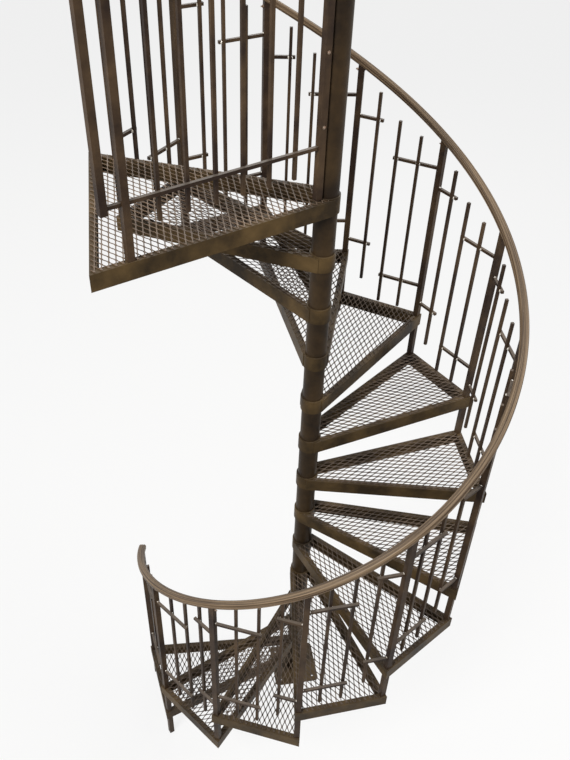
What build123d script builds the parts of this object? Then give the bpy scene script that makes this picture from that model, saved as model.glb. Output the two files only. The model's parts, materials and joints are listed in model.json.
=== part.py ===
"""Spiral stair of welded steel: a centre pole, twelve wedge treads on hubs, a wall platform,
square tube posts with stub bars and pickets, and a grooved helical handrail.

Sizes are in millimetres. The origin is on the ground on the pole's axis, +Z is up, and the house
wall that the platform is bolted to lies towards -X. Going down, the treads turn clockwise.
"""
from build123d import *
from math import acos, asin, atan2, ceil, cos, degrees, radians, sin
import os

os.makedirs("parts", exist_ok=True)

# Stair layout
rise = 241.3
tread_count = 12
tread_sweep = 28.3
platform_half_angle = 26.5
post_circle_r = 823.0
wall_distance = 843.0
seat = 0.3

# Pole, hubs and base plate
pole_od = 88.9
pole_wall = 5.5
pole_above_floor = 1000.0
cap_thickness = 8.0
hub_od = 101.6
base_side = 254.0
base_thickness = 12.7
base_bevel = 12.0
anchor_spacing = 190.0
anchor_hole_d = 14.0

# Channel frames of the treads and the platform
frame_depth = 63.5
channel_web = 3.2
flange_width = 25.4
flange_thickness = 3.2
mesh_thickness = 4.5
mesh_margin = 2.0
mesh_gap = 1.0
diamond_pitch_long = 336.0
diamond_pitch_short = 148.8
diamond_bar = 36.0
diamond_least_area = 3000.0
wall_bolt_spacing = 600.0
wall_bolt_hole_d = 13.0

# Posts, stub bars and pickets
post_side = 25.4
post_wall = 2.0
bar_side = 12.7
weld_sink = 1.0
single_stub_reach = 122.0
single_stub_height = 70.0
single_stub_drop = 231.0
single_picket_foot = -118.0
single_picket_drop = 48.0
pair_stub_reach = 218.0
pair_stub_height = 163.0
pair_stub_drop = 142.0
pair_picket_foot = 24.0
inner_picket_drop = 75.0
outer_picket_drop = 89.0

# Handrail
rail_height = 908.0
rail_width = 44.0
rail_depth = 34.0
rail_bevel = 7.0
groove_width = 5.0
groove_depth = 2.0
groove_offset = 8.5
rail_joints = (5.64, 6.73)
rail_joint_gap = 0.3
rail_overrun = 36.0

# Platform guard
guard_offset = 18.0
guard_post_setback = 141.0
wall_stile_gap = 74.0
wall_stile_bottom = 175.0
guard_bar_height = 195.0
guard_bar_drop = 118.0
guard_picket_count = 6
guard_picket_pitch = 104.5
guard_picket_start = 121.0
guard_picket_foot = 96.0
guard_picket_drop = 36.0

# Values worked out from the sizes above
platform_height = rise * (tread_count + 1)
post_half = post_side / 2
bar_half = bar_side / 2
slope = atan2(rise, radians(tread_sweep) * post_circle_r)
edge_offset = hub_od / 2 + channel_web
edge_lean = asin((hub_od / 2 - post_half) / post_circle_r)
post_inset = post_half * (cos(edge_lean) + sin(edge_lean)) + seat + channel_web
post_offset = edge_offset - post_inset


def polar(radius, angle, height=0.0):
    """A point given by its distance from the pole's axis, its angle in degrees and its height."""
    return Vector(radius * cos(radians(angle)), radius * sin(radians(angle)), height)


def post_angle(index):
    """The angle of a stair post; post 0 stands at the platform, the last at the bottom tread."""
    return 180 - platform_half_angle - tread_sweep * index


def tread_top(index):
    """The height of a tread's top; tread 0 is the platform."""
    return platform_height - rise * index


def outer_face(half_sweep):
    """How far the straight outer end lies from the axis, a post standing just inside each corner."""
    turn = radians(half_sweep)
    return post_circle_r * cos(turn) + post_half * (cos(turn) + sin(turn)) + seat + channel_web


def edge_line(angle, side, mid_angle, outer):
    """A frame's edge from its hub to its outer corner, with the post at the angle just inside it.

    The edge touches the hub's side. side is 1 on the upper edge and -1 on the lower one.
    """
    normal = angle + side * degrees(acos(post_offset / post_circle_r))
    foot = polar(edge_offset, normal)
    run = polar(1, normal - side * 90)
    out = polar(1, mid_angle)
    return foot, foot + run * ((outer - foot.dot(out)) / run.dot(out))


def wedge_corners(lower_angle, upper_angle, outer):
    """The four corners of a wedge frame, from the hub along the lower edge and back."""
    mid_angle = (lower_angle + upper_angle) / 2
    lower_foot, lower_corner = edge_line(lower_angle, -1, mid_angle, outer)
    upper_foot, upper_corner = edge_line(upper_angle, 1, mid_angle, outer)
    return [lower_foot, lower_corner, upper_corner, upper_foot]


def post_spot(angle):
    """The ground plane under a stair post's centre, with its X axis pointing away from the pole."""
    return Plane(origin=polar(post_circle_r, angle), x_dir=polar(1, angle), z_dir=(0, 0, 1))


def channel_frame(corners, top, post_spots):
    """A welded wedge of channel, flanges inwards, round a hub, with a slot for each corner post.

    top is the walking level: the flanges lie one mesh thickness below it, and the hub reaches it.
    """
    bottom = top - mesh_thickness - frame_depth
    with BuildPart() as frame:
        with BuildSketch(Plane.XY.offset(bottom)):
            with BuildLine():
                Polyline(*corners, close=True)
            make_face()
        extrude(amount=frame_depth)
        with BuildSketch(Plane.XY.offset(bottom)):
            with BuildLine():
                Polyline(*corners, close=True)
            make_face()
            offset(amount=-flange_width, kind=Kind.INTERSECTION)
        extrude(amount=frame_depth, mode=Mode.SUBTRACT)
        with BuildSketch(Plane.XY.offset(bottom + flange_thickness)):
            with BuildLine():
                Polyline(*corners, close=True)
            make_face()
            offset(amount=-channel_web, kind=Kind.INTERSECTION)
        extrude(amount=frame_depth - 2 * flange_thickness, mode=Mode.SUBTRACT)
        with BuildSketch(Plane.XY.offset(bottom)):
            Circle(hub_od / 2)
        extrude(amount=top - bottom)
        with BuildSketch(Plane.XY.offset(bottom)):
            Circle(pole_od / 2 + seat)
        extrude(amount=top - bottom, mode=Mode.SUBTRACT)
        for spot in post_spots:
            with BuildSketch(spot.offset(bottom)):
                Rectangle(post_side + 2 * seat, post_side + 2 * seat)
            extrude(amount=frame_depth, mode=Mode.SUBTRACT)
    return frame


def diamond_openings(corners, mid_angle, bottom):
    """Plugs of a plain diamond grid between the flanges, for the sheet's many small openings.

    The diamonds lie lengthwise along the middle line in two staggered grids. Those that the
    flanges cut down to a small remnant are left out.
    """
    half_long = (diamond_pitch_long - diamond_bar) / 2
    half_short = half_long * diamond_pitch_short / diamond_pitch_long
    repeats = ceil(wall_distance / diamond_pitch_long)
    first = diamond_pitch_long * repeats / 2
    with BuildPart() as plugs:
        with BuildSketch(Plane.XY.offset(bottom)):
            with BuildLine():
                Polyline(*corners, close=True)
            make_face()
            offset(amount=-flange_width, kind=Kind.INTERSECTION)
            Circle(hub_od / 2 + flange_width, mode=Mode.SUBTRACT)
        extrude(amount=mesh_thickness)
        with BuildSketch(Plane(origin=(0, 0, bottom), x_dir=polar(1, mid_angle), z_dir=(0, 0, 1))):
            with Locations((first, 0), (first + diamond_pitch_long / 2, diamond_pitch_short / 2)):
                with GridLocations(diamond_pitch_long, diamond_pitch_short, repeats, 2 * repeats + 1):
                    Polygon((-half_long, 0), (0, -half_short), (half_long, 0), (0, half_short), align=None)
        extrude(amount=mesh_thickness, mode=Mode.INTERSECT)
    return plugs.solids().filter_by(lambda plug: plug.volume > diamond_least_area * mesh_thickness)


def mesh_sheet(corners, mid_angle, top, post_spots):
    """The sheet of expanded metal, laid on the frame's flanges and simplified to coarse diamonds.

    It is notched round each post, and the scrap outside a corner post is left out.
    """
    bottom = top - mesh_thickness
    with BuildPart() as sheet:
        with BuildSketch(Plane.XY.offset(bottom)):
            with BuildLine():
                Polyline(*corners, close=True)
            make_face()
            offset(amount=-mesh_margin, kind=Kind.INTERSECTION)
            Circle(hub_od / 2 + mesh_gap, mode=Mode.SUBTRACT)
        extrude(amount=mesh_thickness)
        add(diamond_openings(corners, mid_angle, bottom), mode=Mode.SUBTRACT)
        for spot in post_spots:
            with BuildSketch(spot.offset(bottom)):
                Rectangle(post_side + 2 * mesh_gap, post_side + 2 * mesh_gap)
            extrude(amount=mesh_thickness, mode=Mode.SUBTRACT)
    return Part(sheet.part.solids().sort_by(SortBy.VOLUME)[-1].wrapped)


def square_tube(spot, bottom, top):
    """A square tube standing on end, from one height to another."""
    with BuildPart() as tube:
        with BuildSketch(spot.offset(bottom)):
            Rectangle(post_side, post_side)
            Rectangle(post_side - 2 * post_wall, post_side - 2 * post_wall, mode=Mode.SUBTRACT)
        extrude(amount=top - bottom)
    return tube


# Base plate: a square steel plate on the slab with four anchor holes.
with BuildPart() as base_plate:
    with BuildSketch():
        plate = Rectangle(base_side, base_side)
        chamfer(plate.vertices(), base_bevel)
    extrude(amount=base_thickness)
    with Locations((0, 0, base_thickness)):
        with GridLocations(anchor_spacing, anchor_spacing, 2, 2):
            Hole(anchor_hole_d / 2)
base_plate.part.label = "base_plate"
export_step(base_plate.part, "parts/base_plate.step")

# Centre pole: one steel pipe from the base plate to above the platform.
pole_top = platform_height + pole_above_floor
with BuildPart() as centre_pole:
    with BuildSketch(Plane.XY.offset(base_thickness)):
        Circle(pole_od / 2)
        Circle(pole_od / 2 - pole_wall, mode=Mode.SUBTRACT)
    extrude(amount=pole_top - base_thickness)
centre_pole.part.label = "centre_pole"
export_step(centre_pole.part, "parts/centre_pole.step")

# Pole cap: a steel disc welded over the pipe's open end.
with BuildPart() as pole_cap:
    with BuildSketch(Plane.XY.offset(pole_top)):
        Circle(pole_od / 2)
    extrude(amount=cap_thickness)
pole_cap.part.label = "pole_cap"
export_step(pole_cap.part, "parts/pole_cap.step")

# Treads: each is a channel wedge welded to a hub on the pole. Its own post stands inside the nose
# corner, and the post of the tread above ends inside the rear corner, so each post ties two treads.
tread_outer = outer_face(tread_sweep / 2)
tread_meshes = []
for index in range(1, tread_count + 1):
    corners = wedge_corners(post_angle(index), post_angle(index - 1), tread_outer)
    spots = [post_spot(post_angle(index)), post_spot(post_angle(index - 1))]
    tread = channel_frame(corners, tread_top(index), spots)
    tread.part.label = f"tread_{index:02d}"
    export_step(tread.part, f"parts/tread_{index:02d}.step")
    mid_angle = (post_angle(index) + post_angle(index - 1)) / 2
    tread_meshes.append(mesh_sheet(corners, mid_angle, tread_top(index), spots))

# Tread meshes: twelve separate sheets of expanded metal, one on the flanges of each tread.
meshes = Compound(label="tread_meshes", children=tread_meshes)
export_step(meshes, "parts/tread_meshes.step")

# The guard stands along the platform's edge on the other side from the stair. Its post is inside
# that edge's web, a setback before the wall, and its line passes the pole's axis at an offset.
guard_side = 180 + platform_half_angle
web_normal = guard_side + degrees(acos(post_offset / post_circle_r))
web_foot = polar(post_offset, web_normal)
web_run = polar(1, web_normal - 90)
wall_reach = -(wall_distance + web_foot.X) / web_run.X
guard_post_point = web_foot + web_run * (wall_reach - guard_post_setback)
guard_turn = asin(guard_offset / guard_post_point.length)
guard_angle = degrees(atan2(guard_post_point.Y, guard_post_point.X) - guard_turn)
guard_post_distance = guard_post_point.length * cos(guard_turn)


def guard_spot(distance, across=0.0):
    """The ground plane under a point of the guard, its X axis running along it from the pole."""
    run = polar(1, guard_angle)
    side = polar(1, guard_angle + 90)
    return Plane(origin=run * distance + side * (guard_offset + across), x_dir=run, z_dir=(0, 0, 1))


# Platform: a wider channel wedge between the pole and the house wall, bolted through its wall web.
platform_corners = wedge_corners(post_angle(0), guard_side, wall_distance)
platform_spots = [post_spot(post_angle(0)), guard_spot(guard_post_distance)]
platform = channel_frame(platform_corners, platform_height, platform_spots)
wall_web_middle = platform_height - mesh_thickness - frame_depth / 2
with BuildPart() as platform_frame:
    add(platform.part)
    with Locations(Plane(origin=(-wall_distance, 0, wall_web_middle), x_dir=(0, 1, 0),
                         z_dir=(-1, 0, 0))):
        with GridLocations(wall_bolt_spacing, 0, 2, 1):
            Hole(wall_bolt_hole_d / 2, depth=2 * channel_web)
platform_frame.part.label = "platform_frame"
export_step(platform_frame.part, "parts/platform_frame.step")

platform_mesh = mesh_sheet(platform_corners, 180, platform_height, platform_spots)
platform_mesh.label = "platform_mesh"
export_step(platform_mesh, "parts/platform_mesh.step")

# Stair posts: each runs from the bottom of the tread below it to the handrail, its top cut to the
# rail's slope. The two lowest stand on the ground.
rail_drop = (rail_depth / 2 + seat) / cos(slope)
grounded_posts = (tread_count - 1, tread_count)
for index in range(tread_count + 1):
    spot = post_spot(post_angle(index))
    frame_bottom = tread_top(index + 1) - mesh_thickness - frame_depth
    bottom = 0.0 if index in grounded_posts else frame_bottom
    top = tread_top(index) + rail_height - rail_drop
    tube = square_tube(spot, bottom, top + post_side)
    with BuildPart() as post:
        add(tube.part)
        along = polar(cos(slope), post_angle(index) + 90, sin(slope))
        split(bisect_by=Plane(origin=spot.origin + Vector(0, 0, top), x_dir=spot.x_dir,
                              z_dir=spot.x_dir.cross(along)), keep=Keep.BOTTOM)
    post.part.label = f"post_{index:02d}"
    export_step(post.part, f"parts/post_{index:02d}.step")

# Pickets: between two posts the upper post carries one picket and the lower post two, each on a
# pair of level stub bars welded to the post. The pickets stand inside the bars and touch no rail.
pitches_per_bay = 4
picket_pitch = 2 * post_circle_r * sin(radians(tread_sweep / 2)) / pitches_per_bay
single_stubs = (single_stub_height, rail_height - single_stub_drop)
pair_stubs = (pair_stub_height, rail_height - pair_stub_drop)


def picket_comb(index, turn, stub_reach, stub_heights, pickets):
    """Two stub bars leaving a post towards its neighbour, with upright pickets welded inside them.

    turn is -1 towards the next post down and 1 towards the next post up. pickets lists, for each
    picket, its distance from the post in pitches, the height of its foot above the level and the
    drop of its top below the handrail's middle there.
    """
    level = tread_top(index)
    along = polar(1, post_angle(index) + turn * (90 + tread_sweep / 2))
    start = polar(post_circle_r, post_angle(index))
    with BuildPart() as comb:
        for height in stub_heights:
            with BuildSketch(Plane(origin=start + Vector(0, 0, level + height - bar_half),
                                   x_dir=along, z_dir=(0, 0, 1))):
                with Locations((stub_reach / 2, 0)):
                    Rectangle(stub_reach, bar_side)
            extrude(amount=bar_side)
        for pitches, foot, drop in pickets:
            picket_top = rail_height + turn * rise * pitches / pitches_per_bay - drop
            with BuildSketch(Plane(origin=start + Vector(0, 0, level + foot), x_dir=along,
                                   z_dir=(0, 0, 1))):
                with Locations((pitches * picket_pitch, turn * (bar_side - weld_sink))):
                    Rectangle(bar_side, bar_side)
            extrude(amount=picket_top - foot)
        with BuildSketch(post_spot(post_angle(index)).offset(level)):
            Rectangle(post_side + 2 * seat, post_side + 2 * seat)
        extrude(amount=rail_height, mode=Mode.SUBTRACT)
    return comb


bays_per_node = 3
for first in range(0, tread_count, bays_per_node):
    combs = []
    for upper in range(first, first + bays_per_node):
        single = picket_comb(upper, -1, single_stub_reach, single_stubs,
                             [(1, single_picket_foot, single_picket_drop)])
        pair = picket_comb(upper + 1, 1, pair_stub_reach, pair_stubs,
                           [(1, pair_picket_foot, inner_picket_drop),
                            (2, pair_picket_foot, outer_picket_drop)])
        combs += [single.part, pair.part]
    label = f"pickets_{first + 1:02d}_to_{first + bays_per_node:02d}"
    export_step(Compound(label=label, children=combs), f"parts/{label}.step")

# Handrail: a moulded section with lengthwise grooves, carried round the post circle in three
# lengths that butt together.


def rail_profile():
    """The handrail's section: a bevelled block with two grooves along its top."""
    block = Rectangle(rail_width, rail_depth)
    chamfer(block.vertices(), rail_bevel)
    with Locations((-groove_offset, rail_depth / 2), (groove_offset, rail_depth / 2)):
        Rectangle(groove_width, 2 * groove_depth, mode=Mode.SUBTRACT)


def rail_length(lower_angle, upper_angle):
    """One length of helical handrail between two angles, its section upright all the way.

    It is swept up from the X axis, then turned and raised to its place over the posts.
    """
    pitch = rise * 360 / tread_sweep
    steps_down = (post_angle(0) - lower_angle) / tread_sweep
    start_height = platform_height + rail_height - rise * steps_down
    with BuildPart() as length:
        with BuildLine() as path:
            Helix(pitch=pitch, height=pitch * (upper_angle - lower_angle) / 360,
                  radius=post_circle_r)
        with BuildSketch(Plane(origin=path.line @ 0, x_dir=(1, 0, 0), z_dir=-(path.line % 0))):
            rail_profile()
        sweep(path=path.line, is_frenet=True)
    return Pos(0, 0, start_height) * Rot(0, 0, lower_angle) * length.part


half_gap = degrees(rail_joint_gap / 2 / post_circle_r)
overrun = degrees(rail_overrun / post_circle_r)
joint_angles = [post_angle(0) + overrun]
joint_angles += [post_angle(joint) for joint in rail_joints]
joint_angles += [post_angle(tread_count) - overrun]
for place, name in enumerate(["handrail_upper", "handrail_middle", "handrail_lower"]):
    rail = rail_length(joint_angles[place + 1] + half_gap, joint_angles[place] - half_gap)
    rail.label = name
    export_step(rail, f"parts/{name}.step")

# Platform guard: a straight fence from the pole to the wall. Its post ends inside the frame, one
# stile stands by the pole, and one hangs from the bars beside the wall.
guard_top = platform_height + rail_height - rail_depth / 2 - seat
pole_stile_distance = pole_od / 2 + seat + post_half
wall_stile_distance = guard_post_distance + wall_stile_gap
guard_frame_bottom = platform_height - mesh_thickness - frame_depth
for name, distance, bottom in [("guard_post", guard_post_distance, guard_frame_bottom),
                               ("guard_pole_stile", pole_stile_distance, platform_height),
                               ("guard_wall_stile", wall_stile_distance,
                                platform_height + wall_stile_bottom)]:
    upright = square_tube(guard_spot(distance), bottom, guard_top)
    upright.part.label = name
    export_step(upright.part, f"parts/{name}.step")

# The guard's infill: two level bars between the stiles, cut at the post, and upright pickets.
with BuildPart() as guard_panel:
    for height in (guard_bar_height, rail_height - guard_bar_drop):
        bar_middle = guard_spot((pole_stile_distance + wall_stile_distance) / 2)
        with BuildSketch(bar_middle.offset(platform_height + height - bar_half)):
            Rectangle(wall_stile_distance - pole_stile_distance, bar_side)
        extrude(amount=bar_side)
    for place in range(guard_picket_count):
        distance = guard_post_distance - guard_picket_start - place * guard_picket_pitch
        picket_spot = guard_spot(distance, weld_sink - bar_side)
        with BuildSketch(picket_spot.offset(platform_height + guard_picket_foot)):
            Rectangle(bar_side, bar_side)
        extrude(amount=rail_height - guard_picket_drop - guard_picket_foot)
    for distance in (pole_stile_distance, guard_post_distance, wall_stile_distance):
        with BuildSketch(guard_spot(distance).offset(platform_height)):
            Rectangle(post_side + 2 * seat, post_side + 2 * seat)
        extrude(amount=rail_height, mode=Mode.SUBTRACT)
guard_panel.part.label = "guard_panel"
export_step(guard_panel.part, "parts/guard_panel.step")

# Guard rail: a straight length of the handrail's section over the guard.
guard_rail_start = pole_od / 2 + seat
with BuildPart() as guard_rail:
    with BuildSketch(Plane(origin=guard_spot(guard_rail_start).origin
                           + Vector(0, 0, platform_height + rail_height),
                           x_dir=polar(1, guard_angle + 90), z_dir=polar(1, guard_angle))):
        rail_profile()
    extrude(amount=wall_stile_distance + post_half - guard_rail_start)
guard_rail.part.label = "guard_rail"
export_step(guard_rail.part, "parts/guard_rail.step")
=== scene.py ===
import bpy
import json
import numpy as np
from mathutils import Matrix, Vector
from mathutils.geometry import convex_hull_2d
from math import atan2, ceil, cos, floor, pi, radians, sin


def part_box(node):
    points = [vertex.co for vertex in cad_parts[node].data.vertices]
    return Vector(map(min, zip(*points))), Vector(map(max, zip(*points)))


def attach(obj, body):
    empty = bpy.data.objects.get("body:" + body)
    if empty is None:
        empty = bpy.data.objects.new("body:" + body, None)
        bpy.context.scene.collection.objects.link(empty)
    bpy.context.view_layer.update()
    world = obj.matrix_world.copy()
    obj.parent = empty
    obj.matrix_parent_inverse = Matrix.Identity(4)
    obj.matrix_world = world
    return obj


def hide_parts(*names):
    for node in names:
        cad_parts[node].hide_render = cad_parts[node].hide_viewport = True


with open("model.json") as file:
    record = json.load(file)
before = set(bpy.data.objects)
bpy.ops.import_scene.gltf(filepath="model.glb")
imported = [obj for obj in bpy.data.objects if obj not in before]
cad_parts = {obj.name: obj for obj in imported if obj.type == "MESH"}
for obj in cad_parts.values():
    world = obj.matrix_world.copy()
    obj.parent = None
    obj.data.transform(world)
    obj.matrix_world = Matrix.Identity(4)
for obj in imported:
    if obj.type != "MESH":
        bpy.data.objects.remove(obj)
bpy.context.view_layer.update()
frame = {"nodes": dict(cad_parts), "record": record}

# Camera: a person on an upper storey looks down on the stair from beyond its lower treads, so
# the treads are seen from above and the pole leans slightly in the picture.
bpy.context.scene.view_settings.view_transform = "Standard"
eye = Vector((-0.671, -2.719, 4.596))
turn_right = radians(11.42)
look_down = radians(42.34)
lean = radians(2.43)
ahead = Vector((sin(turn_right) * cos(look_down), cos(turn_right) * cos(look_down), -sin(look_down)))
level_right = Vector((cos(turn_right), -sin(turn_right), 0))
level_up = level_right.cross(ahead)
picture_right = level_right * cos(lean) + level_up * sin(lean)
picture_up = level_up * cos(lean) - level_right * sin(lean)
camera_data = bpy.data.cameras.new("camera")
camera_data.sensor_fit = "VERTICAL"
camera_data.sensor_height = 36
camera_data.lens = 40.14
camera_data.shift_x = 0.0008
camera_data.shift_y = 0.0465
camera = bpy.data.objects.new("camera", camera_data)
camera.matrix_world = Matrix((
    (picture_right.x, picture_up.x, -ahead.x, eye.x),
    (picture_right.y, picture_up.y, -ahead.y, eye.y),
    (picture_right.z, picture_up.z, -ahead.z, eye.z),
    (0, 0, 0, 1)))
bpy.context.scene.collection.objects.link(camera)
bpy.context.scene.camera = camera

# Studio: a plain pale floor, a pale surround that the camera and glossy paint see as white, and
# three large soft lamps, the strongest high on the left.
floor_reach = 30
floor_white_share = 0.82
ambient_strength = 0.28
lamp_target = Vector((0, 0, 2.0))


def node_of(tree, kind, **inputs):
    """Adds a shader node of the given kind and sets the named inputs that are plain values."""
    node = tree.nodes.new(kind)
    for name, value in inputs.items():
        node.inputs[name.replace("_", " ")].default_value = value
    return node


def whitened(tree, plain, white, output, share):
    """Sends plain to the output, with a share of white for what the camera and glossy paint see."""
    seen = tree.nodes.new("ShaderNodeLightPath")
    either = tree.nodes.new("ShaderNodeMath")
    either.operation = "MAXIMUM"
    tree.links.new(seen.outputs["Is Camera Ray"], either.inputs[0])
    tree.links.new(seen.outputs["Is Glossy Ray"], either.inputs[1])
    part = tree.nodes.new("ShaderNodeMath")
    part.operation = "MULTIPLY"
    part.inputs[1].default_value = share
    tree.links.new(either.outputs["Value"], part.inputs[0])
    blend = tree.nodes.new("ShaderNodeMixShader")
    tree.links.new(part.outputs["Value"], blend.inputs["Fac"])
    tree.links.new(plain, blend.inputs[1])
    tree.links.new(white, blend.inputs[2])
    tree.links.new(blend.outputs["Shader"], output)


floor_paint = bpy.data.materials.new("floor_paint")
floor_paint.use_nodes = True
floor_tree = floor_paint.node_tree
floor_shader = floor_tree.nodes["Principled BSDF"]
floor_shader.inputs["Base Color"].default_value = (0.62, 0.61, 0.59, 1)
floor_shader.inputs["Roughness"].default_value = 0.9
floor_white = node_of(floor_tree, "ShaderNodeEmission", Color=(1, 1, 1, 1), Strength=1.0)
whitened(floor_tree, floor_shader.outputs["BSDF"], floor_white.outputs["Emission"],
         floor_tree.nodes["Material Output"].inputs["Surface"], floor_white_share)
studio_floor_mesh = bpy.data.meshes.new("floor")
studio_floor_mesh.from_pydata(
    [(floor_reach * x, floor_reach * y, 0) for x, y in ((-1, -1), (1, -1), (1, 1), (-1, 1))],
    [], [(0, 1, 2, 3)])
studio_floor = bpy.data.objects.new("floor", studio_floor_mesh)
studio_floor_mesh.materials.append(floor_paint)
bpy.context.scene.collection.objects.link(studio_floor)

surround = bpy.data.worlds.new("surround")
surround.use_nodes = True
bpy.context.scene.world = surround
sky = surround.node_tree
sky.nodes["Background"].inputs["Color"].default_value = (0.93, 0.96, 1.0, 1)
sky.nodes["Background"].inputs["Strength"].default_value = ambient_strength
white_sky = node_of(sky, "ShaderNodeBackground", Color=(1, 1, 1, 1), Strength=1.0)
whitened(sky, sky.nodes["Background"].outputs["Background"], white_sky.outputs["Background"],
         sky.nodes["World Output"].inputs["Surface"], 1.0)

for lamp_name, lamp_from, lamp_size, lamp_power in (
        ("key_lamp", (-4.5, -4.5, 7.5), 3.0, 760),
        ("side_lamp", (5.5, -1.0, 5.5), 2.5, 300),
        ("back_lamp", (1.0, 5.5, 6.0), 4.0, 160)):
    lamp_data = bpy.data.lights.new(lamp_name, "AREA")
    lamp_data.size = lamp_size
    lamp_data.energy = lamp_power
    lamp = bpy.data.objects.new(lamp_name, lamp_data)
    lamp.location = lamp_from
    lamp.rotation_euler = (lamp_target - Vector(lamp_from)).to_track_quat("-Z", "Y").to_euler()
    bpy.context.scene.collection.objects.link(lamp)

# Base plate, pole, frames and railing: welded mild steel, all sprayed in one satin dark bronze
# paint that has gone chalky on top, worn to a lighter brown and gathered some dust. The pale tops are
# also a painted sheen on the railing and the platform's sheet, and the handrail's cream streaks are
# painted highlights.
paint_shine = 0.09
patch_scale = 5.5
shade_until = 0.38
worn_and_highlight_from = 0.72
speckle_scale = 420
# How far the handrail's painted highlight streaks are drawn out along it.
highlight_streak_stretch = (0.4, 48.0, 48.0)
# Pale grey-brown on up-facing faces: dust, and on the railing and the platform's sheet a painted sheen.
dust_and_sheen_colour = (0.36, 0.31, 0.26, 1)
least_dust_and_sheen_tilt = 0.55
gloss_spread = 0.25
peel_depth = 0.0006


def bronze_paint(name, shade, worn_and_highlight, roughness, dust_and_sheen, grain=None):
    """Satin paint whose colour goes between two shades with a slow noise, with fine orange peel.

    Dust, and on the railing and the platform's sheet a painted sheen of light, lies on what faces up:
    the normal's height, through a ramp, mixes in a pale grey-brown.
    grain names an attribute of positions along, across and up a moulding: the slow noise is then
    read from it, drawn out lengthwise, so that the lighter colour runs in streaks; on the handrail
    these streaks are painted highlights.
    """
    paint = bpy.data.materials.new(name)
    paint.use_nodes = True
    tree = paint.node_tree
    shader = tree.nodes["Principled BSDF"]
    shader.inputs["Specular IOR Level"].default_value = paint_shine
    place = tree.nodes.new("ShaderNodeTexCoord")
    patches = node_of(tree, "ShaderNodeTexNoise", Scale=patch_scale, Detail=6.0, Roughness=0.6)
    grit = node_of(tree, "ShaderNodeTexNoise", Scale=speckle_scale, Detail=3.0, Roughness=0.7)
    if grain is None:
        tree.links.new(place.outputs["Object"], patches.inputs["Vector"])
    else:
        lengthwise = tree.nodes.new("ShaderNodeAttribute")
        lengthwise.attribute_name = grain
        drawn_out = node_of(tree, "ShaderNodeMapping", Scale=highlight_streak_stretch)
        tree.links.new(lengthwise.outputs["Vector"], drawn_out.inputs["Vector"])
        tree.links.new(drawn_out.outputs["Vector"], patches.inputs["Vector"])
    tree.links.new(place.outputs["Object"], grit.inputs["Vector"])
    ramp = tree.nodes.new("ShaderNodeValToRGB")
    for element, position, colour in zip(ramp.color_ramp.elements, (shade_until, worn_and_highlight_from), (shade, worn_and_highlight)):
        element.position = position
        element.color = (*colour, 1)
    tree.links.new(patches.outputs["Fac"], ramp.inputs["Fac"])
    # Up-facing faces are lightened: dust, and a painted sheen where the paint's share is high.
    facing = tree.nodes.new("ShaderNodeNewGeometry")
    split = tree.nodes.new("ShaderNodeSeparateXYZ")
    tree.links.new(facing.outputs["Normal"], split.inputs["Vector"])
    dust_and_sheen_amount = node_of(tree, "ShaderNodeMapRange", From_Min=least_dust_and_sheen_tilt, From_Max=1.0,
                          To_Min=0.0, To_Max=dust_and_sheen)
    tree.links.new(split.outputs["Z"], dust_and_sheen_amount.inputs["Value"])
    patchy = tree.nodes.new("ShaderNodeMath")
    patchy.operation = "MULTIPLY"
    tree.links.new(dust_and_sheen_amount.outputs["Result"], patchy.inputs[0])
    tree.links.new(grit.outputs["Fac"], patchy.inputs[1])
    dust_and_sheen_mix = tree.nodes.new("ShaderNodeMix")
    dust_and_sheen_mix.data_type = "RGBA"
    dust_and_sheen_mix.inputs["B"].default_value = dust_and_sheen_colour
    tree.links.new(patchy.outputs["Value"], dust_and_sheen_mix.inputs["Factor"])
    tree.links.new(ramp.outputs["Color"], dust_and_sheen_mix.inputs["A"])
    tree.links.new(dust_and_sheen_mix.outputs["Result"], shader.inputs["Base Color"])
    rough = node_of(tree, "ShaderNodeMapRange", From_Min=0.3, From_Max=0.7,
                    To_Min=roughness, To_Max=roughness + gloss_spread)
    tree.links.new(grit.outputs["Fac"], rough.inputs["Value"])
    tree.links.new(rough.outputs["Result"], shader.inputs["Roughness"])
    bump = node_of(tree, "ShaderNodeBump", Strength=0.25, Distance=peel_depth)
    tree.links.new(grit.outputs["Fac"], bump.inputs["Height"])
    tree.links.new(bump.outputs["Normal"], shader.inputs["Normal"])
    return paint


# Each paint has its shade, its worn colour, its least roughness and its most dust and painted sheen;
# the handrail's worn colour is a painted highlight.
paints = {
    name: bronze_paint(name, *look) for name, look in {
        "frame_paint": ((0.022, 0.0140, 0.0065), (0.100, 0.062, 0.024), 0.34, 0.10),
        # mesh_paint and the platform's copy are one paint: the platform's copy is lighter and dustier,
        # painted sunlight and highlights on its sheet.
        "mesh_paint": ((0.030, 0.019, 0.013), (0.120, 0.082, 0.055), 0.36, 0.22),
        "sunlit_platform_mesh_paint": ((0.055, 0.033, 0.020), (0.190, 0.125, 0.075), 0.34, 0.45),
        "pole_paint": ((0.015, 0.0095, 0.0055), (0.050, 0.030, 0.013), 0.30, 0.10),
        # The railing's high share paints the pale tops of its stub bars: partly dust, partly a painted
        # reflection of the sky.
        "railing_paint": ((0.021, 0.0125, 0.0085), (0.078, 0.048, 0.025), 0.34, 0.50),
        # The handrail's cream second colour, streaked along the moulding, is a painted highlight.
        "handrail_paint": ((0.036, 0.021, 0.013), (0.300, 0.210, 0.125), 0.28, 0.30, "rail_place"),
    }.items()
}
slot_of = {row["node"]: row["material_slot"] for row in frame["record"]["subparts"]}
for node_name, node in frame["nodes"].items():
    for slot_index in range(len(node.material_slots)):
        node.material_slots[slot_index].material = paints[slot_of[node_name]]

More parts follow.
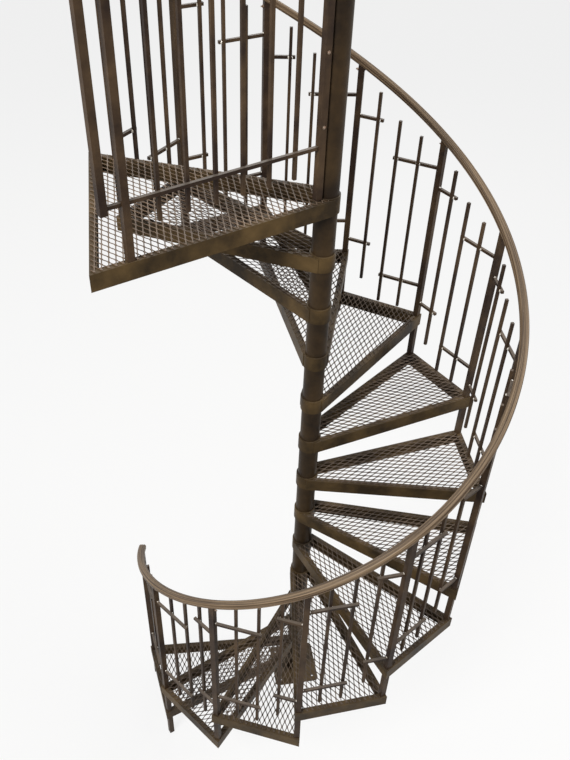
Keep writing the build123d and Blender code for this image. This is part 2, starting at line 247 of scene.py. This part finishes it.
# Expanded metal: each tread and the platform carry one sheet of raised expanded steel, slit and
# stretched from plate, laid on the frame's flanges and cut to its outline with shears.
long_way = 0.056
short_way = 0.0248
bond_length = 0.009
strand_width = 0.0040
strand_thickness = 0.0022
strand_tilt = radians(17)
edge_margin = 0.003
post_clearance = 0.0165
least_kept_share = 0.02
least_bend = 0.01
level_tolerance = 0.001


def inner_spans(starts, ends, hull, discs):
    """The part of each straight strand, as two fractions of its length, that lies on the sheet.

    A strand is clipped by the line through each side of the convex outline, drawn in by a margin,
    where its distance from the line changes sign, and then kept outside each disc, whose crossings
    are the roots of a quadratic equation.
    """
    enter = np.zeros(len(starts))
    leave = np.ones(len(starts))
    for corner, following in zip(hull, np.roll(hull, -1, axis=0)):
        side = following - corner
        inward = np.array([-side[1], side[0]]) / np.hypot(*side)
        at_start = (starts - corner) @ inward - edge_margin
        at_end = (ends - corner) @ inward - edge_margin
        change = np.where(at_start == at_end, 1.0, at_start - at_end)
        crossing = at_start / change
        enter = np.where(at_start < 0, np.maximum(enter, crossing), enter)
        leave = np.where(at_end < 0, np.minimum(leave, crossing), leave)
        leave = np.where((at_start < 0) & (at_end < 0), -1.0, leave)
    for centre, radius in discs:
        run = ends - starts
        offset = starts - centre
        square = (run * run).sum(1)
        half_linear = (run * offset).sum(1)
        rest = (offset * offset).sum(1) - radius * radius
        under_root = half_linear * half_linear - square * rest
        root = np.sqrt(np.maximum(under_root, 0.0))
        first = (-half_linear - root) / square
        last = (-half_linear + root) / square
        hit = (under_root > 0) & (last > enter) & (first < leave)
        covers_start = hit & (first <= enter)
        enter = np.where(covers_start, last, enter)
        leave = np.where(hit & ~covers_start, first, leave)
    return enter, leave


def expanded_sheet(name, node_name, hull, level, lay, discs, paint):
    """One sheet of expanded metal, cut to a convex outline and round discs, as a closed mesh.

    In the sheet's own axes u runs the long way of the diamonds and v the short way. Strand j
    zigzags round v = j * short_way / 2: it keeps level for a bond, crosses to the other side and
    keeps level again, and every second strand is half a long way further on, so neighbours meet
    at the bonds. The strand is tilted, so it lies lower where v is high, and the bonds overlap
    like shingles.
    """
    turn = np.array([[cos(lay), sin(lay)], [-sin(lay), cos(lay)]])
    spread = hull @ turn.T
    bonds = np.arange(floor(spread[:, 0].min() / (long_way / 2)) - 1,
                      ceil(spread[:, 0].max() / (long_way / 2)) + 2)
    rows = np.arange(floor(spread[:, 1].min() / (short_way / 2)) - 1,
                     ceil(spread[:, 1].max() / (short_way / 2)) + 2)
    side = 1 - 2 * ((rows[:, None] + bonds[None, :]) % 2)
    v_swing = short_way / 4 - strand_width * cos(strand_tilt) / 2
    path = np.empty((len(rows), len(bonds), 2, 3))
    path[..., 0] = (bonds[None, :] * long_way / 2)[..., None] + np.array([-0.5, 0.5]) * bond_length
    path[..., 1] = (rows[:, None] * short_way / 2 + side * v_swing)[..., None]
    path[..., 2] = (-side * strand_width * sin(strand_tilt) / 2)[..., None]
    path = path.reshape(len(rows), -1, 3)
    starts = path[:, :-1].reshape(-1, 3)
    ends = path[:, 1:].reshape(-1, 3)
    row_of = np.repeat(rows, path.shape[1] - 1)
    enter, leave = inner_spans(starts[:, :2], ends[:, :2], spread,
                               [(turn @ centre, radius) for centre, radius in discs])
    kept = leave - enter > least_kept_share
    starts, ends, row_of, enter, leave = (
        values[kept] for values in (starts, ends, row_of, enter, leave))
    run = ends - starts
    tips = np.stack([starts + run * enter[:, None], starts + run * leave[:, None]], 1)
    across = np.array([0, cos(strand_tilt), sin(strand_tilt)]) * strand_width / 2
    through = np.array([0, -sin(strand_tilt), cos(strand_tilt)]) * strand_thickness / 2
    section = np.array([across + through, through - across, -across - through, across - through])
    points = tips[:, :, None, :] + section
    corner_of = np.arange(points.shape[0] * 8).reshape(-1, 2, 4)
    following = np.roll(corner_of, -1, axis=2)
    sides = np.stack([corner_of[:, 0], following[:, 0], following[:, 1], corner_of[:, 1]], -1)
    caps = np.concatenate([corner_of[enter > 0, 0][:, ::-1], corner_of[leave < 1, 1]])
    faces = np.concatenate([sides.reshape(-1, 4), caps])
    keys = np.column_stack([np.repeat(row_of, 8), np.round(points.reshape(-1, 3), 6)])
    keys, first_use, point_of = np.unique(keys, axis=0, return_index=True, return_inverse=True)
    own = points.reshape(-1, 3)[first_use]
    world = np.column_stack([own[:, :2] @ turn, own[:, 2] + level])
    sheet_mesh = bpy.data.meshes.new(name)
    sheet_mesh.from_pydata(world, [], point_of.ravel()[faces])
    sheet_mesh.materials.append(paint)
    sheet = bpy.data.objects.new(name, sheet_mesh)
    bpy.context.scene.collection.objects.link(sheet)
    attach(sheet, "root")
    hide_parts(node_name)


def hull_of(points):
    """The convex outline of a cloud of points in plan, counter-clockwise, without straight points."""
    points = np.unique(np.round(points, 5), axis=0)
    order = convex_hull_2d([tuple(point) for point in points])
    hull = points[order]
    side = np.roll(hull, -1, axis=0) - hull
    before = np.roll(side, 1, axis=0)
    turning = np.abs(before[:, 0] * side[:, 1] - before[:, 1] * side[:, 0])
    hull = hull[turning > least_bend * np.hypot(*before.T) * np.hypot(*side.T)]
    around = np.roll(hull, -1, axis=0)
    area = (hull[:, 0] * around[:, 1] - hull[:, 1] * around[:, 0]).sum()
    return hull if area > 0 else hull[::-1]


def node_points(node_name):
    """A node's corners, as an array of positions in the shared frame."""
    node = frame["nodes"][node_name]
    positions = np.empty(len(node.data.vertices) * 3, dtype=np.float32)
    node.data.vertices.foreach_get("co", positions)
    return positions.reshape(-1, 3).astype(float)


def centre_of(node_name):
    """The middle of a node's box, in plan."""
    low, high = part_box(node_name)
    return np.array([(low[0] + high[0]) / 2, (low[1] + high[1]) / 2])


# How each sheet's diamonds lie, in degrees counter-clockwise from its tread's middle line, from
# the top tread down: the sheets were cut as they came, so the lay differs from tread to tread.
lays = (12.2, 34.8, -12.4, 12.2, -27.8, 12.2, 36.2, -12.7, 12.2, 12.2, -12.4, 78.7)
platform_lay = 113.2
tread_points = node_points("tread_meshes")
# The sheets' heights, to a tenth of a millimetre, in pairs of top and underside from the top down.
levels = np.unique(np.round(tread_points[:, 2], 4))[::-1].reshape(-1, 2)
hub_radius = np.hypot(*tread_points[:, :2].T).min()
for index, ((top, bottom), lay) in enumerate(zip(levels, lays), start=1):
    outline = hull_of(tread_points[np.abs(tread_points[:, 2] - top) < level_tolerance][:, :2])
    middle = outline.mean(0)
    posts = [(centre_of(f"post_{corner:02d}"), post_clearance) for corner in (index - 1, index)]
    expanded_sheet(f"expanded_metal_{index:02d}", "tread_meshes", outline, (top + bottom) / 2,
                   atan2(middle[1], middle[0]) + radians(lay),
                   posts + [(np.zeros(2), hub_radius)], paints["mesh_paint"])
platform_points = node_points("platform_mesh")
# The platform's sheet takes the lighter copy of the mesh paint, with painted sunlight and highlights.
expanded_sheet("expanded_metal_platform", "platform_mesh", hull_of(platform_points[:, :2]),
               platform_points[:, 2].mean(), radians(platform_lay),
               [(centre_of("post_00"), post_clearance), (centre_of("guard_post"), post_clearance),
                (np.zeros(2), hub_radius)], paints["sunlit_platform_mesh_paint"])

# Handrail: a moulded steel section with rolled corners and grooves along its top and sides, bent
# round the post circle in three lengths that butt together, and run straight over the guard. It
# is drawn as slim as the photograph shows it, its underside on the post tops.
rail_width = 0.036
rail_depth = 0.027
top_radius = 0.0100
foot_radius = 0.0065
corner_points = 6
top_points = 21
side_points = 9
groove_offset = 0.0042
groove_width = 0.0040
groove_depth = 0.0014
rail_height = 0.908
rail_underside = 0.017
station_spacing = 0.018
rail_crease = radians(40)
wrap_margin = 0.2


def rail_section():
    """The handrail's outline, counter-clockwise, as positions across and up from the helix line.

    Each corner is a quarter circle. Between the corners the top dips in two grooves and each side
    in one, every groove one period of a raised cosine.
    """
    quarter = np.linspace(0, pi / 2, corner_points)
    half = np.array([rail_width, rail_depth]) / 2
    right_top, left_top, left_foot, right_foot = (
        (half - radius) * signs
        + radius * np.column_stack([np.cos(quarter + start), np.sin(quarter + start)])
        for signs, start, radius in (((1, 1), 0, top_radius), ((-1, 1), pi / 2, top_radius),
                                     ((-1, -1), pi, foot_radius), ((1, -1), 3 * pi / 2, foot_radius)))
    across = np.linspace(half[0] - top_radius, top_radius - half[0], top_points)[1:-1]
    phase = np.minimum(np.abs(np.abs(across) - groove_offset) / (groove_width / 2), 1)
    top = np.column_stack([across, half[1] - groove_depth * (1 + np.cos(pi * phase)) / 2])
    up = np.linspace(foot_radius - half[1], half[1] - top_radius, side_points)[1:-1]
    phase = np.minimum(np.abs(up - up.mean()) / (groove_width / 2), 1)
    right = np.column_stack([half[0] - groove_depth * (1 + np.cos(pi * phase)) / 2, up])
    left = right[::-1] * (-1, 1)
    outline = np.concatenate([right, right_top, top, left_top, left, left_foot, right_foot])
    return outline + np.array([0, half[1] - rail_underside])


def rail_piece(name, node_name, centres, outward, upward, travelled):
    """A length of handrail: the section's points, carried to each station, joined by quads.

    At a station the point is its centre, plus across times the outward direction, plus up times
    the upward direction. The two ends are closed by the section itself. Each point also carries
    how far along, across and up the moulding it lies, for the paint's streaks.
    """
    section = rail_section()
    points = (centres[:, None] + section[:, 0, None] * outward[:, None]
              + section[:, 1, None] * upward[:, None])
    stations, around = points.shape[:2]
    grid = np.arange(stations * around).reshape(stations, around)
    beside = np.roll(grid, -1, axis=1)
    sides = np.stack([grid[:-1], beside[:-1], beside[1:], grid[1:]], -1).reshape(-1, 4)
    ends = [grid[0, ::-1].tolist(), grid[-1].tolist()]
    rail_mesh = bpy.data.meshes.new(name)
    rail_mesh.from_pydata(points.reshape(-1, 3), [], sides.tolist() + ends)
    along = np.broadcast_to(travelled[:, None, None], (stations, around, 1))
    lengthwise = np.concatenate([along, np.broadcast_to(section, (stations, around, 2))], -1)
    rail_mesh.attributes.new("rail_place", "FLOAT_VECTOR", "POINT").data.foreach_set(
        "vector", lengthwise.ravel().astype(np.float32))
    rail_mesh.materials.append(paints["handrail_paint"])
    rail_mesh.shade_smooth()
    rail_mesh.set_sharp_from_angle(angle=rail_crease)
    rail = bpy.data.objects.new(name, rail_mesh)
    bpy.context.scene.collection.objects.link(rail)
    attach(rail, "root")
    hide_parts(node_name)


# The helix passes rail_height over the platform at post 0 and falls one rise in one tread's sweep.
platform_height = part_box("platform_frame")[1][2]
rise = platform_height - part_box("tread_01")[1][2]
first_post = centre_of("post_00")
next_post = centre_of("post_01")
post_circle_r = np.hypot(*first_post)
first_angle = atan2(first_post[1], first_post[0])
sweep = first_angle - atan2(next_post[1], next_post[0])
slope = atan2(rise, sweep * post_circle_r)
end_lean = rail_underside * sin(slope) / post_circle_r
for length in ("upper", "middle", "lower"):
    rail_points = node_points(f"handrail_{length}")
    angles = np.arctan2(rail_points[:, 1], rail_points[:, 0])
    angles = np.where(angles > first_angle + wrap_margin, angles - 2 * pi, angles)
    lower_end = angles.min() + end_lean
    upper_end = angles.max() - end_lean
    stations = ceil((upper_end - lower_end) * post_circle_r / station_spacing) + 1
    station_angles = np.linspace(lower_end, upper_end, stations)
    no_height = np.zeros(stations)
    outward = np.column_stack([np.cos(station_angles), np.sin(station_angles), no_height])
    onward = np.column_stack([-np.sin(station_angles), np.cos(station_angles), no_height])
    heights = platform_height + rail_height - rise * (first_angle - station_angles) / sweep
    centres = outward * post_circle_r + heights[:, None] * np.array([0, 0, 1])
    upward = np.array([0, 0, cos(slope)]) - onward * sin(slope)
    rail_piece(f"rail_{length}", f"handrail_{length}", centres, outward, upward,
               station_angles * post_circle_r / cos(slope))

guard_points = node_points("guard_rail")
guard_direction = centre_of("guard_wall_stile") - centre_of("guard_pole_stile")
guard_direction = np.append(guard_direction / np.hypot(*guard_direction), 0)
guard_across = np.array([-guard_direction[1], guard_direction[0], 0])
reached = guard_points @ guard_direction
guard_ends = np.array([reached.min(), reached.max()])
guard_line = guard_across * (guard_points @ guard_across).mean()
guard_line = guard_line + np.array([0, 0, platform_height + rail_height])
rail_piece("rail_guard", "guard_rail", guard_line + guard_ends[:, None] * guard_direction,
           -np.stack([guard_across] * 2), np.array([[0, 0, 1], [0, 0, 1]]), guard_ends)

# Welds: each picket is welded to its two stub bars, and each stub bar to its post. The beads have
# lost their paint and show as small bright spots, no two of one shape: their near-white colour is
# partly bare weld metal and partly a painted glint.
single_stub_drop = 0.231
pair_stub_drop = 0.142
single_stub_heights = (0.070, rail_height - single_stub_drop)
pair_stub_heights = (0.163, rail_height - pair_stub_drop)
bar_half = 0.00635
post_half = 0.0127
bays = len(levels)
pitches_per_bay = 4
picket_pitch = 2 * post_circle_r * sin(sweep / 2) / pitches_per_bay
bead_rings = np.array([-0.85, -0.35, 0.35, 0.85])
bead_sides = 8
bead_swell = 0.16
phase_step = 2.1
picket_bead_radii = (0.0046, 0.0050, 0.0070)
stub_bead_radii = (0.0034, 0.0058, 0.0030)
piece_crease = radians(50)


def bare_steel(name, metallic, roughness, grain_scale, grain_detail, dark, bright):
    """Steel without paint: a grainy noise mixes two shades.

    dark and bright are each a place on the noise's ramp and the colour from there on.
    """
    paint = bpy.data.materials.new(name)
    paint.use_nodes = True
    tree = paint.node_tree
    shader = tree.nodes["Principled BSDF"]
    shader.inputs["Metallic"].default_value = metallic
    shader.inputs["Roughness"].default_value = roughness
    place = tree.nodes.new("ShaderNodeTexCoord")
    grain = node_of(tree, "ShaderNodeTexNoise", Scale=grain_scale, Detail=grain_detail)
    tree.links.new(place.outputs["Object"], grain.inputs["Vector"])
    ramp = tree.nodes.new("ShaderNodeValToRGB")
    for element, (position, colour) in zip(ramp.color_ramp.elements, (dark, bright)):
        element.position = position
        element.color = (*colour, 1)
    tree.links.new(grain.outputs["Fac"], ramp.inputs["Fac"])
    tree.links.new(ramp.outputs["Color"], shader.inputs["Base Color"])
    return paint


def added_piece(name, points, faces, paint):
    """A closed mesh of plain points and faces, riding on the stair and painted as told."""
    piece_mesh = bpy.data.meshes.new(name)
    piece_mesh.from_pydata(points.reshape(-1, 3), [], faces)
    piece_mesh.materials.append(paint)
    piece_mesh.shade_smooth()
    piece_mesh.set_sharp_from_angle(angle=piece_crease)
    piece = bpy.data.objects.new(name, piece_mesh)
    bpy.context.scene.collection.objects.link(piece)
    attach(piece, "root")


def ringed_faces(count, rings, sides):
    """The faces of count closed forms, each made of rings joined by quads and capped at both ends."""
    grid = np.arange(count * rings * sides).reshape(count, rings, sides)
    beside = np.roll(grid, -1, axis=2)
    walls = np.stack([grid[:, :-1], beside[:, :-1], beside[:, 1:], grid[:, 1:]], -1).reshape(-1, 4)
    return walls.tolist() + grid[:, 0, ::-1].tolist() + grid[:, -1].tolist()


def beads(name, centres, headings, radii):
    """Weld beads as uneven ellipsoids, one at each centre, with their first radius on the heading.

    A ring at the height t of the unit ball has the radius of the root of 1 - t squared, swollen
    and pinched three times round by a sine whose phase moves on from bead to bead.
    """
    turn = np.arange(bead_sides) * 2 * pi / bead_sides
    phase = np.arange(len(centres))[:, None, None] * phase_step
    swell = 1 + bead_swell * np.sin(3 * turn[None, None, :] + phase + 2 * bead_rings[None, :, None])
    reach = np.sqrt(1 - bead_rings ** 2)[None, :, None] * swell
    first = reach * np.cos(turn) * radii[0]
    second = reach * np.sin(turn) * radii[1]
    third = np.broadcast_to(bead_rings[None, :, None] * radii[2], reach.shape)
    aim_cos = np.cos(headings)[:, None, None]
    aim_sin = np.sin(headings)[:, None, None]
    points = np.stack([first * aim_cos - second * aim_sin, first * aim_sin + second * aim_cos, third], -1)
    points = points + centres[:, None, None, :]
    added_piece(name, points, ringed_faces(len(centres), len(bead_rings), bead_sides), weld_metal)


# Half bright weld metal, half brown; the near-white end is partly a painted glint.
weld_metal = bare_steel("weld_metal", 0.25, 0.4, 260.0, 2.0,
                        (0.35, (0.46, 0.38, 0.28)), (0.60, (0.90, 0.87, 0.80)))
picket_welds = []
picket_headings = []
stub_welds = []
stub_headings = []
# way is -1 for the stubs that leave a post towards the next one down, and 1 for those towards the
# next one up. All the posts of one way are worked out together, as arrays.
for way, posts_down, heights, picket_places in (
        (-1, np.arange(bays), single_stub_heights, (1,)),
        (1, np.arange(1, bays + 1), pair_stub_heights, (1, 2))):
    at = first_angle - sweep * posts_down
    heading = at + way * (pi + sweep) / 2
    start = np.column_stack([np.cos(at), np.sin(at)]) * post_circle_r
    along = np.column_stack([np.cos(heading), np.sin(heading)])
    inside = np.column_stack([-along[:, 1], along[:, 0]]) * way
    for height in heights:
        level = (platform_height - rise * posts_down + height)[:, None]
        for side in (-1, 1):
            for pitches in picket_places:
                spot = start + along * (pitches * picket_pitch + side * bar_half) + inside * bar_half
                picket_welds.append(np.hstack([spot, level]))
                picket_headings.append(heading)
            spot = start + along * post_half / cos(sweep / 2)
            stub_welds.append(np.hstack([spot, level + side * bar_half]))
            stub_headings.append(heading)
beads("picket_welds", np.concatenate(picket_welds), np.concatenate(picket_headings), picket_bead_radii)
beads("stub_welds", np.concatenate(stub_welds), np.concatenate(stub_headings), stub_bead_radii)

# Bolts: a bolt through each post just under the handrail, its nut towards the post above, and two
# round heads on the guard's stile beside the pole. They are plated steel, browned by rust.
bolt_below_post_top = 0.022
stile_bolt_heights = (0.268, 0.512)
bolt_sides = 12
head_distances = (0.0, 0.0011, 0.0011, 0.0028, 0.0041, 0.0047)
head_radii = (0.0064, 0.0064, 0.0051, 0.0047, 0.0034, 0.0016)
head_flats = (0, 0, 0, 0, 0, 0)
nut_distances = (0.0, 0.0011, 0.0011, 0.0052, 0.0052, 0.0108, 0.0114)
nut_radii = (0.0064, 0.0064, 0.0060, 0.0060, 0.0030, 0.0030, 0.0025)
nut_flats = (0, 0, 1, 1, 0, 0, 0)


def turned_ends(name, starts, axes, distances, radii, flats):
    """Bolt ends turned about level axes: each ring lies at its distance from the start.

    Where flats is 1 the ring is a hexagon, whose radius in polar form is the distance of its flats
    over the cosine of the angle from the nearest flat's middle. Elsewhere it is round.
    """
    turn = np.arange(bolt_sides) * 2 * pi / bolt_sides
    hexagon = cos(pi / 6) / np.cos(np.mod(turn, pi / 3) - pi / 6)
    shape = np.where(np.array(flats)[:, None] == 1, hexagon, 1.0) * np.array(radii)[:, None]
    level_across = np.column_stack([-axes[:, 1], axes[:, 0], np.zeros(len(axes))])
    points = (starts[:, None, None] + axes[:, None, None] * np.array(distances)[None, :, None, None]
              + level_across[:, None, None] * (shape * np.cos(turn))[None, ..., None]
              + np.array([0, 0, 1]) * (shape * np.sin(turn))[None, ..., None])
    added_piece(name, points, ringed_faces(len(starts), len(distances), bolt_sides), bolt_metal)


# Dull plating under rust that spreads in coarse patches.
bolt_metal = bare_steel("rusted_bolts", 0.35, 0.6, 140.0, 4.0,
                        (0.40, (0.135, 0.055, 0.025)), (0.62, (0.26, 0.22, 0.17)))
post_names = [f"post_{index:02d}" for index in range(bays + 1)]
post_centres = np.array([centre_of(post_name) for post_name in post_names])
bolt_levels = np.array([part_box(post_name)[1][2] for post_name in post_names]) - bolt_below_post_top
post_axes = np.column_stack([-post_centres[:, 1], post_centres[:, 0], np.zeros(bays + 1)])
post_axes /= np.hypot(*post_centres.T)[:, None]
bolt_centres = np.column_stack([post_centres, bolt_levels])
turned_ends("post_bolt_nuts", bolt_centres + post_axes * post_half, post_axes,
            nut_distances, nut_radii, nut_flats)
turned_ends("post_bolt_heads", bolt_centres - post_axes * post_half, -post_axes,
            head_distances, head_radii, head_flats)
stile_centre = centre_of("guard_pole_stile")
stile_bolts = np.array([[*stile_centre, platform_height + height] for height in stile_bolt_heights])
turned_ends("stile_bolt_heads", stile_bolts + guard_across * post_half, np.stack([guard_across] * 2),
            head_distances, head_radii, head_flats)
